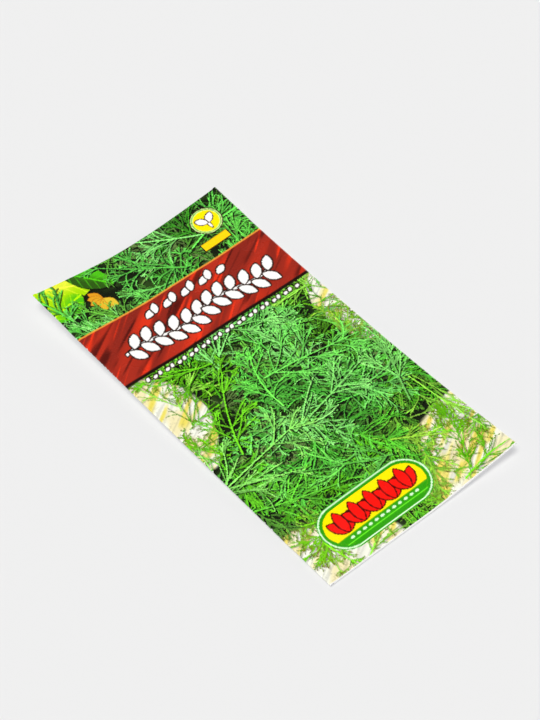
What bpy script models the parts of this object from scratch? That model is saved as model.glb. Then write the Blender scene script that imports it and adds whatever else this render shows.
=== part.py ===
"""Flat seed packet: a printed paper sheet, folded and glued into an envelope round a thin layer of seeds.

Frame: +X to the packet's right and +Y to its top as the front is read, +Z up. The origin is under the
middle of the packet on the surface that its back lies on. Lengths are in metres.
"""

import math
import random

import bmesh
import bpy
from mathutils import Matrix, Vector

MM = 0.001

# Driving dimensions of the closed packet
WIDTH = 80 * MM
LENGTH = 150 * MM
PAPER = 0.2 * MM
LAYER_PITCH = 0.35 * MM  # middle of one layer to the middle of the next, through the glue between them
TAB_WIDTH = 11 * MM  # the glued strip inside the side seam
END_FLAP = 14 * MM  # the part of each end that is turned over onto the back
FLAP_INSET = 1.0 * MM  # how far an end flap stands in from each long edge
FLAP_TAPER = 0.05  # share of its width that an end flap loses by its free edge
BACK_EDGE_INSET = 1.6 * MM  # from the back panel's free edge to the long edge beside it
DRAW_IN = 0.4 * MM  # how far the filled packet pulls each long edge in at mid-length

# How the packet lies: height of its back above the surface, before the belly is pressed flat
LIFT = {
    "top_left": 6.4 * MM,
    "top_middle": 0.3 * MM,
    "top_right": 3.3 * MM,
    "middle_left": 2.4 * MM,
    "centre": -1.2 * MM,
    "middle_right": 1.75 * MM,
    "bottom_left": 0.0 * MM,
    "bottom_middle": 0.0 * MM,
    "bottom_right": 4.5 * MM,
}
LIFT_EASE = 0.6 * MM  # how gently the back leaves the surface round the flat belly
BEND_SOFTNESS = 0.4  # the bend along the middle line, from 0 for a crease to large for an even curve
FLAP_RAMP = 5 * MM  # length over which the back climbs onto an end flap
FLAP_RAMP_GAP = 1 * MM  # from the top of that climb to the flap's free edge

# How far the seeds push the front away from the back
PILLOW = 2.1 * MM
PILLOW_SIDE_POWER = 2.4
PILLOW_END_POWER = 4
PILLOW_LEAN = 0.25  # the lower half is this much fuller than the middle, and the upper half this much less

# The seed layer
SEED_LENGTH = 4.2 * MM
SEED_WIDTH = 2.3 * MM
SEED_THICKNESS = 0.9 * MM
SEED_CLEARANCE = 0.3 * MM  # between the seeds and the paper
PILE_FLATNESS = 0.3  # power that squares off the pile's rim, where 1 would be a plain lens
PILE_HALF_WIDTH = 25 * MM
PILE_HALF_LENGTH = 50 * MM
PILE_RIM_HEIGHT = 0.35 * MM
PILE_OFFSET = -8 * MM  # the pile lies towards the packet's bottom
PILE_SEEDED = 0.88  # share of the pile's width and length that has seeds on it
SEED_PITCH = 5.4 * MM
SEED_JITTER = 0.28
SEED_DRAW = 7

# Fineness of the solids
FRONT_COLUMNS = 18
BACK_COLUMNS = 16
TAB_COLUMNS = 2
FOLD_STEPS = 4
BELLY_ROWS = 22
RAMP_ROWS = 3
FLAP_ROWS = 3
PILE_SEGMENTS = 32
PILE_RINGS = 10
SEED_SEGMENTS = 8
SEED_RINGS = 4
EQUATOR_SLACK = 0.01  # a point this little below a unit sphere's equator still counts as on it

FRONT_TO_BACK = 2 * LAYER_PITCH  # at the side folds, with the tab between them
SIDE_FOLD_RADIUS = FRONT_TO_BACK / 2
TAB_FOLD_RADIUS = LAYER_PITCH / 2
END_FOLD_RADIUS = (FRONT_TO_BACK + LAYER_PITCH) / 2
FOLD_LINE = LENGTH / 2 - PAPER / 2 - END_FOLD_RADIUS  # where the flat front turns into an end fold
RAMP_TOP = FOLD_LINE - END_FLAP - FLAP_RAMP_GAP  # from here to the end the back lies on the flap
RAMP_FOOT = RAMP_TOP - FLAP_RAMP


def lerp(a, b, share):
    return a + (b - a) * share


def even_curve(place):
    return place * place


def soft_bend(place):
    """A V with a rounded bottom: 0 in the middle and 1 at places -1 and 1."""
    rise = math.hypot(place, BEND_SOFTNESS) - BEND_SOFTNESS
    return rise / (math.hypot(1, BEND_SOFTNESS) - BEND_SOFTNESS)


def through_three(low, middle, high, place, curve):
    """The curved line through three values at places -1, 0 and 1."""
    return middle + (high - low) / 2 * place + ((high + low) / 2 - middle) * curve(place)


def lift(x, y):
    """How far the way the packet lies raises its back panel: nothing on the belly, more to the corners."""
    across, along = x / (WIDTH / 2), y / (LENGTH / 2)
    low = through_three(LIFT["bottom_left"], LIFT["bottom_middle"], LIFT["bottom_right"], across, soft_bend)
    middle = through_three(LIFT["middle_left"], LIFT["centre"], LIFT["middle_right"], across, soft_bend)
    high = through_three(LIFT["top_left"], LIFT["top_middle"], LIFT["top_right"], across, soft_bend)
    free = through_three(low, middle, high, along, even_curve)
    return free * free / (free + LIFT_EASE) if free > 0 else 0.0


def flap_step(y):
    """The back panel lies on the surface, but at each end it lies on the end flap, one layer higher."""
    climb = max(0.0, min(1.0, (abs(y) - RAMP_FOOT) / FLAP_RAMP))
    return LAYER_PITCH * climb * climb * (3 - 2 * climb)


def half_width(y):
    """From the packet's middle line to the middle of the paper at its long edge."""
    along = y / (LENGTH / 2)
    return WIDTH / 2 - PAPER / 2 - DRAW_IN * (1 - along * along)


def pillow(x, y):
    """How much further apart than flat layers the front and back are, because of the seeds."""
    across = min(1.0, abs(x) / (half_width(y) - SIDE_FOLD_RADIUS))
    along = max(-1.0, min(1.0, y / FOLD_LINE))
    fullness = (1 - across**PILLOW_SIDE_POWER) * (1 - abs(along) ** PILLOW_END_POWER)
    return PILLOW * fullness * (1 - PILLOW_LEAN * along)


def back_height(x, y):
    return PAPER / 2 + lift(x, y) + flap_step(y)


def front_height(x, y):
    return back_height(x, y) + FRONT_TO_BACK + pillow(x, y)


# The sheet, panel by panel. Each function takes a share from 0 to 1 across its panel or round its fold.
def back_point(share, y):
    """From the free edge beside the seam to the left fold."""
    x = lerp(half_width(y) - BACK_EDGE_INSET, SIDE_FOLD_RADIUS - half_width(y), share)
    return Vector((x, y, back_height(x, y)))


def left_fold_point(share, y):
    edge = SIDE_FOLD_RADIUS - half_width(y)
    turn = math.radians(lerp(270, 90, share))
    middle = front_height(edge, y) - SIDE_FOLD_RADIUS
    return Vector((edge + SIDE_FOLD_RADIUS * math.cos(turn), y, middle + SIDE_FOLD_RADIUS * math.sin(turn)))


def front_x(share, y):
    return lerp(SIDE_FOLD_RADIUS - half_width(y), half_width(y) - TAB_FOLD_RADIUS, share)


def front_point(share, y):
    x = front_x(share, y)
    return Vector((x, y, front_height(x, y)))


def tab_fold_point(share, y):
    edge = half_width(y) - TAB_FOLD_RADIUS
    turn = math.radians(lerp(90, -90, share))
    middle = front_height(edge, y) - TAB_FOLD_RADIUS
    return Vector((edge + TAB_FOLD_RADIUS * math.cos(turn), y, middle + TAB_FOLD_RADIUS * math.sin(turn)))


def tab_point(share, y):
    """The glued strip, which lies on the inside of the back panel."""
    x = half_width(y) - TAB_FOLD_RADIUS - TAB_WIDTH * share
    return Vector((x, y, back_height(x, y) + LAYER_PITCH))


def end_fold_point(share, across, end):
    """Round the end of the packet from the front to the flap. end is 1 at the top and -1 at the bottom."""
    x = front_x(across, end * FOLD_LINE)
    turn = math.radians(lerp(90, -90, share))
    middle = front_height(x, end * FOLD_LINE) - END_FOLD_RADIUS
    y = end * (FOLD_LINE + END_FOLD_RADIUS * math.cos(turn))
    return Vector((x, y, middle + END_FOLD_RADIUS * math.sin(turn)))


def flap_point(share, across, end):
    """The end flap, which lies on the outside of the back panel."""
    x = front_x(across, end * FOLD_LINE) * (1 - FLAP_TAPER * share)
    y = end * (FOLD_LINE - END_FLAP * share)
    return Vector((x, y, back_height(x, y) - LAYER_PITCH))


def steps(count):
    return [i / count for i in range(count + 1)]


def sheet_columns():
    """The sheet's lines from its free edge round to the tab's free edge, as (panel, share) pairs."""
    inset = FLAP_INSET / WIDTH
    front = [0.0] + [lerp(inset, 1 - inset, s) for s in steps(FRONT_COLUMNS)] + [1.0]
    return (
        [(back_point, s) for s in steps(BACK_COLUMNS)[:-1]]
        + [(left_fold_point, s) for s in steps(FOLD_STEPS)[:-1]]
        + [(front_point, s) for s in front]
        + [(tab_fold_point, s) for s in steps(FOLD_STEPS)[1:]]
        + [(tab_point, s) for s in steps(TAB_COLUMNS)[1:]]
    )


def panel_lines():
    """Where the sheet's lines cross its panels: closest together where the back climbs onto a flap."""
    ramp = [lerp(RAMP_FOOT, RAMP_TOP, s) for s in steps(RAMP_ROWS)[1:]]
    top = ramp + [lerp(RAMP_TOP, FOLD_LINE, s) for s in steps(FLAP_ROWS)[1:]]
    belly = [lerp(-RAMP_FOOT, RAMP_FOOT, s) for s in steps(BELLY_ROWS)]
    return [-y for y in reversed(top)] + belly + top


def sheet_rows():
    """The sheet's lines from one flap's free edge to the other's: (part, share or y, end) triples."""
    top = [("fold", s, 1) for s in steps(FOLD_STEPS)[1:]] + [("flap", s, 1) for s in steps(FLAP_ROWS)[1:]]
    bottom = [(part, share, -1) for part, share, _ in reversed(top)]
    return bottom + [("panel", y, 0) for y in panel_lines()] + top


def sheet_point(column, row):
    panel, across = column
    part, place, end = row
    if part == "panel":
        return panel(across, place)
    if part == "fold":
        return end_fold_point(place, across, end)
    return flap_point(place, across, end)


def folded_sheet():
    """A grid of paper, cut to the blank's outline with a flap at each end of the front, then folded."""
    columns, rows = sheet_columns(), sheet_rows()
    front = [i for i, (panel, _) in enumerate(columns) if panel is front_point]
    first, last = front[1], front[-2]
    panels = [j for j, (part, _, _) in enumerate(rows) if part == "panel"]
    width, height = len(columns) - 1, len(rows) - 1
    bm = bmesh.new()
    bmesh.ops.create_grid(bm, x_segments=width, y_segments=height, size=1)
    place = {v: (round((v.co.x + 1) / 2 * width), round((v.co.y + 1) / 2 * height)) for v in bm.verts}

    def cut_away(face):
        i = sum(place[v][0] for v in face.verts) / 4
        j = sum(place[v][1] for v in face.verts) / 4
        return not (first < i < last or panels[0] < j < panels[-1])

    bmesh.ops.delete(bm, geom=[f for f in bm.faces if cut_away(f)], context="FACES")
    for v in bm.verts:
        i, j = place[v]
        v.co = sheet_point(columns[i], rows[j])
    return bm


def object_from(bm, name, collection):
    mesh = bpy.data.meshes.new(name)
    bm.to_mesh(mesh)
    bm.free()
    obj = bpy.data.objects.new(name, mesh)
    collection.objects.link(obj)
    return obj


def plain_material(name, colour, roughness):
    material = bpy.data.materials.new(name)
    material.use_nodes = True
    shader = material.node_tree.nodes["Principled BSDF"]
    shader.inputs["Base Color"].default_value = (*colour, 1)
    shader.inputs["Roughness"].default_value = roughness
    shader.inputs["Metallic"].default_value = 0.0
    return material


def make_envelope(collection):
    envelope = object_from(folded_sheet(), "envelope", collection)
    envelope.data.materials.append(plain_material("coated_printed_paper", (0.10, 0.42, 0.06), 0.35))
    envelope.data.shade_smooth()
    thickness = envelope.modifiers.new("paper thickness", "SOLIDIFY")
    thickness.thickness = PAPER
    thickness.offset = 0
    thickness.use_even_offset = True
    return envelope


def pile_share(x, y):
    """0 at the middle of the seed pile and 1 at its rim."""
    return math.hypot(x / PILE_HALF_WIDTH, (y - PILE_OFFSET) / PILE_HALF_LENGTH)


def pile_floor(x, y):
    return back_height(x, y) + PAPER / 2 + SEED_CLEARANCE


def pile_ceiling(x, y):
    return front_height(x, y) - PAPER / 2 - SEED_CLEARANCE


def pile_core_top(x, y):
    """The core reaches the middles of the seeds, which stand out of it up to the front panel."""
    fullness = (1 - min(1, pile_share(x, y)) ** 2) ** PILE_FLATNESS
    return lerp(pile_floor(x, y) + PILE_RIM_HEIGHT, pile_ceiling(x, y) - SEED_THICKNESS / 2, fullness)


def make_pile_core(collection):
    """A flattened sphere: its upper half follows the front panel, and its lower half lies on the back."""
    bm = bmesh.new()
    bmesh.ops.create_uvsphere(bm, u_segments=PILE_SEGMENTS, v_segments=PILE_RINGS, radius=1)
    for v in bm.verts:
        x = v.co.x * PILE_HALF_WIDTH
        y = v.co.y * PILE_HALF_LENGTH + PILE_OFFSET
        if v.co.z > -EQUATOR_SLACK:
            height = pile_core_top(x, y)
        else:
            rim = pile_floor(x, y) + PILE_RIM_HEIGHT
            height = lerp(rim, pile_floor(x, y), abs(v.co.z) ** PILE_FLATNESS)
        v.co = (x, y, height)
    core = object_from(bm, "seeds", collection)
    core.data.materials.append(plain_material("dry_seed_husk", (0.24, 0.13, 0.05), 0.7))
    return core


def make_seed(collection, x, y, turn):
    """One seed: a flat oval sunk to its middle in the pile's core and tilted with it."""
    bm = bmesh.new()
    bmesh.ops.create_uvsphere(bm, u_segments=SEED_SEGMENTS, v_segments=SEED_RINGS, radius=0.5)
    bmesh.ops.scale(bm, vec=(SEED_LENGTH, SEED_WIDTH, SEED_THICKNESS), verts=bm.verts)
    seed = object_from(bm, "seed", collection)
    reach = SEED_LENGTH / 2
    slope_x = (pile_core_top(x + reach, y) - pile_core_top(x - reach, y)) / (2 * reach)
    slope_y = (pile_core_top(x, y + reach) - pile_core_top(x, y - reach)) / (2 * reach)
    tilt = Vector((0, 0, 1)).rotation_difference(Vector((-slope_x, -slope_y, 1))).to_matrix().to_4x4()
    middle = Matrix.Translation((x, y, pile_core_top(x, y)))
    seed.matrix_world = middle @ tilt @ Matrix.Rotation(turn, 4, "Z")
    return seed


def make_seeds(collection, helpers):
    """Seeds on a shaken grid over the pile, fused with its core into one body."""
    core = make_pile_core(collection)
    draw = random.Random(SEED_DRAW)
    rows = int(PILE_HALF_LENGTH / SEED_PITCH)
    for row in range(-rows, rows + 1):
        for column in range(-rows, rows + 1):
            x = (column + row % 2 / 2 + draw.uniform(-SEED_JITTER, SEED_JITTER)) * SEED_PITCH
            y = (row + draw.uniform(-SEED_JITTER, SEED_JITTER)) * SEED_PITCH + PILE_OFFSET
            turn = draw.uniform(0, math.pi)
            if pile_share(x, y) < PILE_SEEDED:
                make_seed(helpers, x, y, turn)
    fuse = core.modifiers.new("fuse seeds", "BOOLEAN")
    fuse.operation = "UNION"
    fuse.operand_type = "COLLECTION"
    fuse.collection = helpers
    fuse.solver = "MANIFOLD"
    bpy.context.view_layer.update()
    bpy.context.view_layer.objects.active = core
    bpy.ops.object.modifier_apply(modifier=fuse.name)
    for seed in list(helpers.objects):
        bpy.data.objects.remove(seed)
    bpy.data.collections.remove(helpers)
    return core


def main():
    for obj in list(bpy.data.objects):
        bpy.data.objects.remove(obj)
    packet = bpy.data.collections.new("seed_packet")
    helpers = bpy.data.collections.new("loose_seeds")
    for collection in (packet, helpers):
        bpy.context.scene.collection.children.link(collection)
    make_envelope(packet)
    make_seeds(packet, helpers)


main()
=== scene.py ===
import math

import bpy
import numpy as np
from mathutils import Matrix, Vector


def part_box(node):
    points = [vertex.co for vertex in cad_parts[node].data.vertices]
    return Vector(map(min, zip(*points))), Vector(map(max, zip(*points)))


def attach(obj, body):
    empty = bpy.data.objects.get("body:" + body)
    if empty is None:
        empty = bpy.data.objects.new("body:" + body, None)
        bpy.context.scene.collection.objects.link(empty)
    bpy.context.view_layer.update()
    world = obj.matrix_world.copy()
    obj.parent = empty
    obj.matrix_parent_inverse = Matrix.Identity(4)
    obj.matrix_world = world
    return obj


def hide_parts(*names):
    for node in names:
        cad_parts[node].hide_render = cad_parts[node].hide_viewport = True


# Sizes are in millimetres on the packet's own axes, +X to its right, +Y to its top and +Z up out of its
# front, and every finished mesh is turned to metres.
MM = 0.001

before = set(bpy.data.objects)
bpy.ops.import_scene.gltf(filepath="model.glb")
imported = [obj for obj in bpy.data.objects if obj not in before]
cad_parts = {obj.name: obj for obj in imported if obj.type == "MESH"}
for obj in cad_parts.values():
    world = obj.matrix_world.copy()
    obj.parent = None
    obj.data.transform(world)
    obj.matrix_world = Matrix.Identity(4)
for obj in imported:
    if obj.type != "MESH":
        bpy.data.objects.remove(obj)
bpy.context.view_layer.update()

# The blank
# A seed packet starts as one flat sheet of coated paper, printed and then cut out: a back panel, the front
# panel and a narrow glue tab side by side, with an end flap above and below the front.
envelope_low, envelope_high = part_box("envelope")
WIDTH = (envelope_high.x - envelope_low.x) / MM
LENGTH = (envelope_high.y - envelope_low.y) / MM
PAPER = 0.2
LAYER_PITCH = 0.35  # from the middle of one glued layer to the middle of the next
TAB_WIDTH = 11
END_FLAP = 14
FLAP_INSET = 1.0  # of each flap from the front's sides
FLAP_TAPER = 0.05  # of its width, by its free edge
BACK_EDGE_INSET = 1.6  # of the back's free edge from the packet's side
DRAW_IN = 0.4  # of each side at mid length, where the packet is fullest

FRONT_TO_BACK = 2 * LAYER_PITCH
SIDE_RADIUS = FRONT_TO_BACK / 2
TAB_RADIUS = LAYER_PITCH / 2
END_RADIUS = (FRONT_TO_BACK + LAYER_PITCH) / 2
FOLD_LINE = LENGTH / 2 - PAPER / 2 - END_RADIUS
FOLD_CELLS, TAB_CELLS, FLAP_CELLS = 3, 5, 7  # of the blank's grid, round each fold, and on a tab and a flap

# Where the panels meet on the flat blank, from its free edge to the tab's free edge
FRONT_LEFT = SIDE_RADIUS + PAPER / 2 - WIDTH / 2
FRONT_RIGHT = WIDTH / 2 - PAPER / 2 - TAB_RADIUS
LEFT_FOLD = FRONT_LEFT - math.pi * SIDE_RADIUS
FREE_EDGE = LEFT_FOLD - (WIDTH - PAPER - SIDE_RADIUS - BACK_EDGE_INSET)
TAB_FOLD = FRONT_RIGHT + math.pi * TAB_RADIUS
TAB_EDGE = TAB_FOLD + TAB_WIDTH
FLAP_LINE = FOLD_LINE + math.pi * END_RADIUS
FLAP_EDGE = FLAP_LINE + END_FLAP
SHOULDER = (FLAP_LINE - FOLD_LINE) / FOLD_CELLS

CELL = 2.12  # the blank's grid, before its printed front is made finer
PRINT_CUTS = 4  # each cell of the printed front is cut this often both ways, to carry the print


def lines(start, stop, cells):
    """Evenly spaced grid lines, without the one at stop."""
    return list(np.linspace(start, stop, cells + 1)[:-1])


front_cells = round((FRONT_RIGHT - FRONT_LEFT - 2 * FLAP_INSET) / CELL)
column_lines = (
    lines(FREE_EDGE, LEFT_FOLD, round((LEFT_FOLD - FREE_EDGE) / CELL))
    + lines(LEFT_FOLD, FRONT_LEFT, FOLD_CELLS)
    + [FRONT_LEFT]
    + lines(FRONT_LEFT + FLAP_INSET, FRONT_RIGHT - FLAP_INSET, front_cells)
    + [FRONT_RIGHT - FLAP_INSET]
    + lines(FRONT_RIGHT, TAB_FOLD, FOLD_CELLS)
    + lines(TAB_FOLD, TAB_EDGE, TAB_CELLS)
    + [TAB_EDGE]
)
upper_lines = lines(FOLD_LINE, FLAP_LINE, FOLD_CELLS) + lines(FLAP_LINE, FLAP_EDGE, FLAP_CELLS) + [FLAP_EDGE]
row_lines = [-y for y in reversed(upper_lines)]
row_lines += lines(-FOLD_LINE, FOLD_LINE, round(2 * FOLD_LINE / CELL))[1:] + upper_lines

bpy.ops.object.select_all(action="DESELECT")
blank_columns, blank_rows = len(column_lines) - 1, len(row_lines) - 1
bpy.ops.mesh.primitive_grid_add(x_subdivisions=blank_columns, y_subdivisions=blank_rows, size=1)
envelope = bpy.context.object
envelope.name = "folded_envelope"
blank = envelope.data
for vertex in blank.vertices:
    column = round((vertex.co.x + 0.5) * blank_columns)
    row = round((vertex.co.y + 0.5) * blank_rows)
    vertex.co = (column_lines[column], row_lines[row], 0)


def select_faces(mesh, chosen):
    """Selects just the faces whose middle and normal pass the test, and stays in edit mode."""
    bpy.ops.object.mode_set(mode="EDIT")
    bpy.ops.mesh.select_mode(type="FACE")
    bpy.ops.mesh.select_all(action="DESELECT")
    bpy.ops.object.mode_set(mode="OBJECT")
    for face in mesh.polygons:
        face.select = chosen(face.center, face.normal)
    bpy.ops.object.mode_set(mode="EDIT")


def beside_the_flaps(middle, normal):
    """The waste beside the end flaps. Each corner of the front keeps a small shoulder past the fold line."""
    if abs(middle.y) < FOLD_LINE or FRONT_LEFT + FLAP_INSET < middle.x < FRONT_RIGHT - FLAP_INSET:
        return False
    return abs(middle.y) > FOLD_LINE + SHOULDER or not LEFT_FOLD < middle.x < TAB_FOLD


select_faces(blank, beside_the_flaps)
bpy.ops.mesh.delete(type="FACE")
bpy.ops.object.mode_set(mode="OBJECT")


def apply_modifier(piece, kind, **settings):
    """Adds a modifier with these settings and applies it."""
    modifier = piece.modifiers.new(kind.lower(), kind)
    for name, value in settings.items():
        setattr(modifier, name, value)
    bpy.ops.object.select_all(action="DESELECT")
    bpy.context.view_layer.objects.active = piece
    piece.select_set(True)
    bpy.ops.object.modifier_apply(modifier=modifier.name)


BARE = 1  # the sheet's second finish, after the printed one, in the order of its material slots
apply_modifier(
    envelope, "SOLIDIFY", thickness=PAPER, offset=0, material_offset=BARE, material_offset_rim=BARE
)


def on_the_printed_front(middle, normal):
    return normal.z > 0.5 and LEFT_FOLD < middle.x < TAB_FOLD and abs(middle.y) < FLAP_LINE


select_faces(blank, on_the_printed_front)
bpy.ops.mesh.subdivide(number_cuts=PRINT_CUTS)
bpy.ops.object.mode_set(mode="OBJECT")

# The printing
# The front is printed before the blank is folded. Offset ink lies in a picture of feathery herbs that runs
# off every edge, painted here in seeded strokes on a canvas of dots that the sheet's face corners take up.
DOTS = 6  # per mm
CANVAS_X, CANVAS_Y = 42, 77  # the canvas's half sizes, with bleed round the front


def hexes(*values):
    """sRGB colours from 0 to 1 for hex values such as 0xFF8000."""
    return np.array([[(value >> shift & 255) / 255 for shift in (16, 8, 0)] for value in values])


def linear(srgb):
    """Linear light for sRGB values from 0 to 1."""
    return np.where(srgb <= 0.04045, srgb / 12.92, ((srgb + 0.055) / 1.055) ** 2.4)


draw = np.random.default_rng(11)
canvas_columns, canvas_rows = 2 * CANVAS_X * DOTS, 2 * CANVAS_Y * DOTS
dot_x = ((np.arange(canvas_columns) + 0.5) / DOTS - CANVAS_X)[None, :] * np.ones((canvas_rows, 1))
dot_y = ((np.arange(canvas_rows) + 0.5) / DOTS - CANVAS_Y)[:, None] * np.ones((1, canvas_columns))


def ease(value, low, high):
    """Runs smoothly from 0 to 1 as the value goes from low to high."""
    share = np.clip((value - low) / (high - low), 0, 1)
    return share * share * (3 - 2 * share)


def mix(one, other, share):
    """Takes colours this share of the way from one to the other."""
    return one + (other - one) * share[..., None]


def cloud(pitch_u, pitch_v=None, turn=0.0):
    """Smooth random values from 0 to 1 over the canvas, in lumps of these sizes along axes turned by turn."""
    pitch_v = pitch_v or pitch_u
    u = dot_x * math.cos(turn) + dot_y * math.sin(turn)
    v = dot_y * math.cos(turn) - dot_x * math.sin(turn)
    u, v = (u - u.min()) / pitch_u, (v - v.min()) / pitch_v
    knots = draw.random((int(v.max()) + 2, int(u.max()) + 2))
    i, j = u.astype(int), v.astype(int)
    share_u, share_v = ease(u - i, 0, 1), ease(v - j, 0, 1)
    low = knots[j, i] * (1 - share_u) + knots[j, i + 1] * share_u
    high = knots[j + 1, i] * (1 - share_u) + knots[j + 1, i + 1] * share_u
    return low * (1 - share_v) + high * share_v


# the ground: dark shade under the herbs, and a pale board with straw-coloured streaks where they thin out
BARE_SPOTS = ((48, -72, 46, 32), (-44, -78, 42, 30), (47, 6, 18, 28), (-46, 6, 24, 28))
board, fringe = np.zeros_like(dot_x), np.zeros_like(dot_x)
for x, y, half_wide, half_tall in BARE_SPOTS:
    away = np.hypot((dot_x - x) / half_wide, (dot_y - y) / half_tall)
    board = np.maximum(board, ease(away, 1.0, 0.75))
    fringe = np.maximum(fringe, ease(away + 0.4 * (cloud(9) - 0.5), 1.45, 0.85))  # here the herbs turn yellow
board = ease(board + 0.55 * (cloud(5) - 0.5), 0.3, 0.55)
shade, olive, cream, sand, orange, straw = hexes(0x141C0C, 0x304C1A, 0xF0F0E0, 0xECDFA6, 0xE09A1C, 0xE6D23C)
art = mix(np.ones((canvas_rows, canvas_columns, 1)) * shade, olive, 0.8 * ease(cloud(4), 0.45, 0.9))
GRAIN_TURN = 0.5  # the board's grain climbs to the right
wood = mix(np.ones_like(art) * cream, sand, 0.8 * ease(cloud(9, 4, GRAIN_TURN), 0.4, 0.75))
wood = mix(wood, straw, 0.75 * ease(cloud(8, 1.6, GRAIN_TURN + 0.05), 0.5, 0.9))
wood *= (1 - 0.1 * ease(cloud(9, 0.6, GRAIN_TURN), 0.5, 0.9) - 0.12 * ease(cloud(0.7), 0.75, 1))[..., None]
art = mix(art, wood, board)


SHADE, BOARD_SHADE = 0.4, 0.45  # what is left of the light beside a thread, and what the pale board adds


def brush(paths, widths, colours=None):
    """Paints strokes (stroke, point, 2) in their order, with a width and a colour at each point.

    Strokes without colours darken what lies under them.
    """
    longest = np.abs(np.diff(paths, axis=1)).sum(2).max()
    share = np.linspace(0, 1, max(2, math.ceil(longest * DOTS * 1.3)), endpoint=False)

    def fill(values):
        first, last = values[:, :-1, None], values[:, 1:, None]
        return (first + (last - first) * share[:, None]).reshape(len(values), -1, values.shape[-1])

    u, v = ((fill(paths) + (CANVAS_X, CANVAS_Y)) * DOTS).transpose(2, 0, 1)
    radius = fill(widths[..., None])[..., 0] * DOTS / 2
    tint = None if colours is None else fill(colours)
    shaded = np.zeros(art.shape[:2], bool)
    reach = math.ceil(radius.max())
    for du in range(-reach, reach + 1):
        for dv in range(-reach, reach + 1):
            i, j = np.floor(u).astype(int) + du, np.floor(v).astype(int) + dv
            inside = np.hypot(i + 0.5 - u, j + 0.5 - v) <= radius
            inside &= (i >= 0) & (i < canvas_columns) & (j >= 0) & (j < canvas_rows)
            if colours is None:
                shaded[j[inside], i[inside]] = True
            else:
                art[j[inside], i[inside]] = tint[inside]
    art[shaded] *= (SHADE + BOARD_SHADE * board[shaded])[:, None]


def arcs(starts, headings, lengths, bends, points):
    """Curved lines from the given starts, and their headings at each point."""
    share = np.linspace(0, 1, points)
    turns = headings[:, None] + bends[:, None] * share
    steps = np.stack([np.cos(turns), np.sin(turns)], -1) * (lengths[:, None, None] / (points - 1))
    return starts[:, None] + np.cumsum(steps, 1) - steps[:, :1], turns


def side_shoots(paths, turns, lengths, pairs, angle, share, jitter):
    """Starts, headings and lengths of pairs of shoots along each path, shorter towards its tip."""
    places = (np.arange(pairs) + 0.6) / (pairs + 0.2) + draw.normal(0, jitter / pairs, (len(paths), pairs))
    places = np.clip(places, 0.05, 0.98)
    at = places * (paths.shape[1] - 1)
    before = np.minimum(at.astype(int), paths.shape[1] - 2)
    own = np.arange(len(paths))[:, None]
    part = (at - before)[..., None]
    base = paths[own, before] * (1 - part) + paths[own, before + 1] * part
    starts, headings, reach = [], [], []
    for side in (-1, 1):
        starts.append(base.reshape(-1, 2))
        headings.append((turns[own, before] + side * (angle + draw.normal(0, 0.16, places.shape))).ravel())
        long = lengths[:, None] * share * (1 - 0.66 * places) * draw.uniform(0.75, 1.15, places.shape)
        reach.append(long.ravel())
    return np.concatenate(starts), np.concatenate(headings), np.concatenate(reach)


def dots_at(spots):
    """Columns and rows of the dots under these spots, kept on the canvas."""
    i, j = ((spots + (CANVAS_X, CANVAS_Y)) * DOTS).astype(int).T
    return np.clip(i, 0, canvas_columns - 1), np.clip(j, 0, canvas_rows - 1)


PINNAE, THREADS, FORKS = 4, 3, 1  # pairs on a stem, pairs on each of those, and pairs on each thread
EVEN_STEPS = (0.75488, 0.56984)  # of a run of spots that covers a square evenly
SPARE_SPOTS = 5  # for each spray, as some of them fall where no herbs grow
ROOT_X, ROOT_Y = -22, -10  # the sprays lean away from here
PAINTED_AT_ONCE = 4
SHADE_SHIFT = (0.2, -0.4)  # the shade of a thread falls below it
dark_edge, young, straw_green, brown = hexes(0x14120A, 0x66C60C, 0x9CE040, 0x6A4A16)


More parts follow.
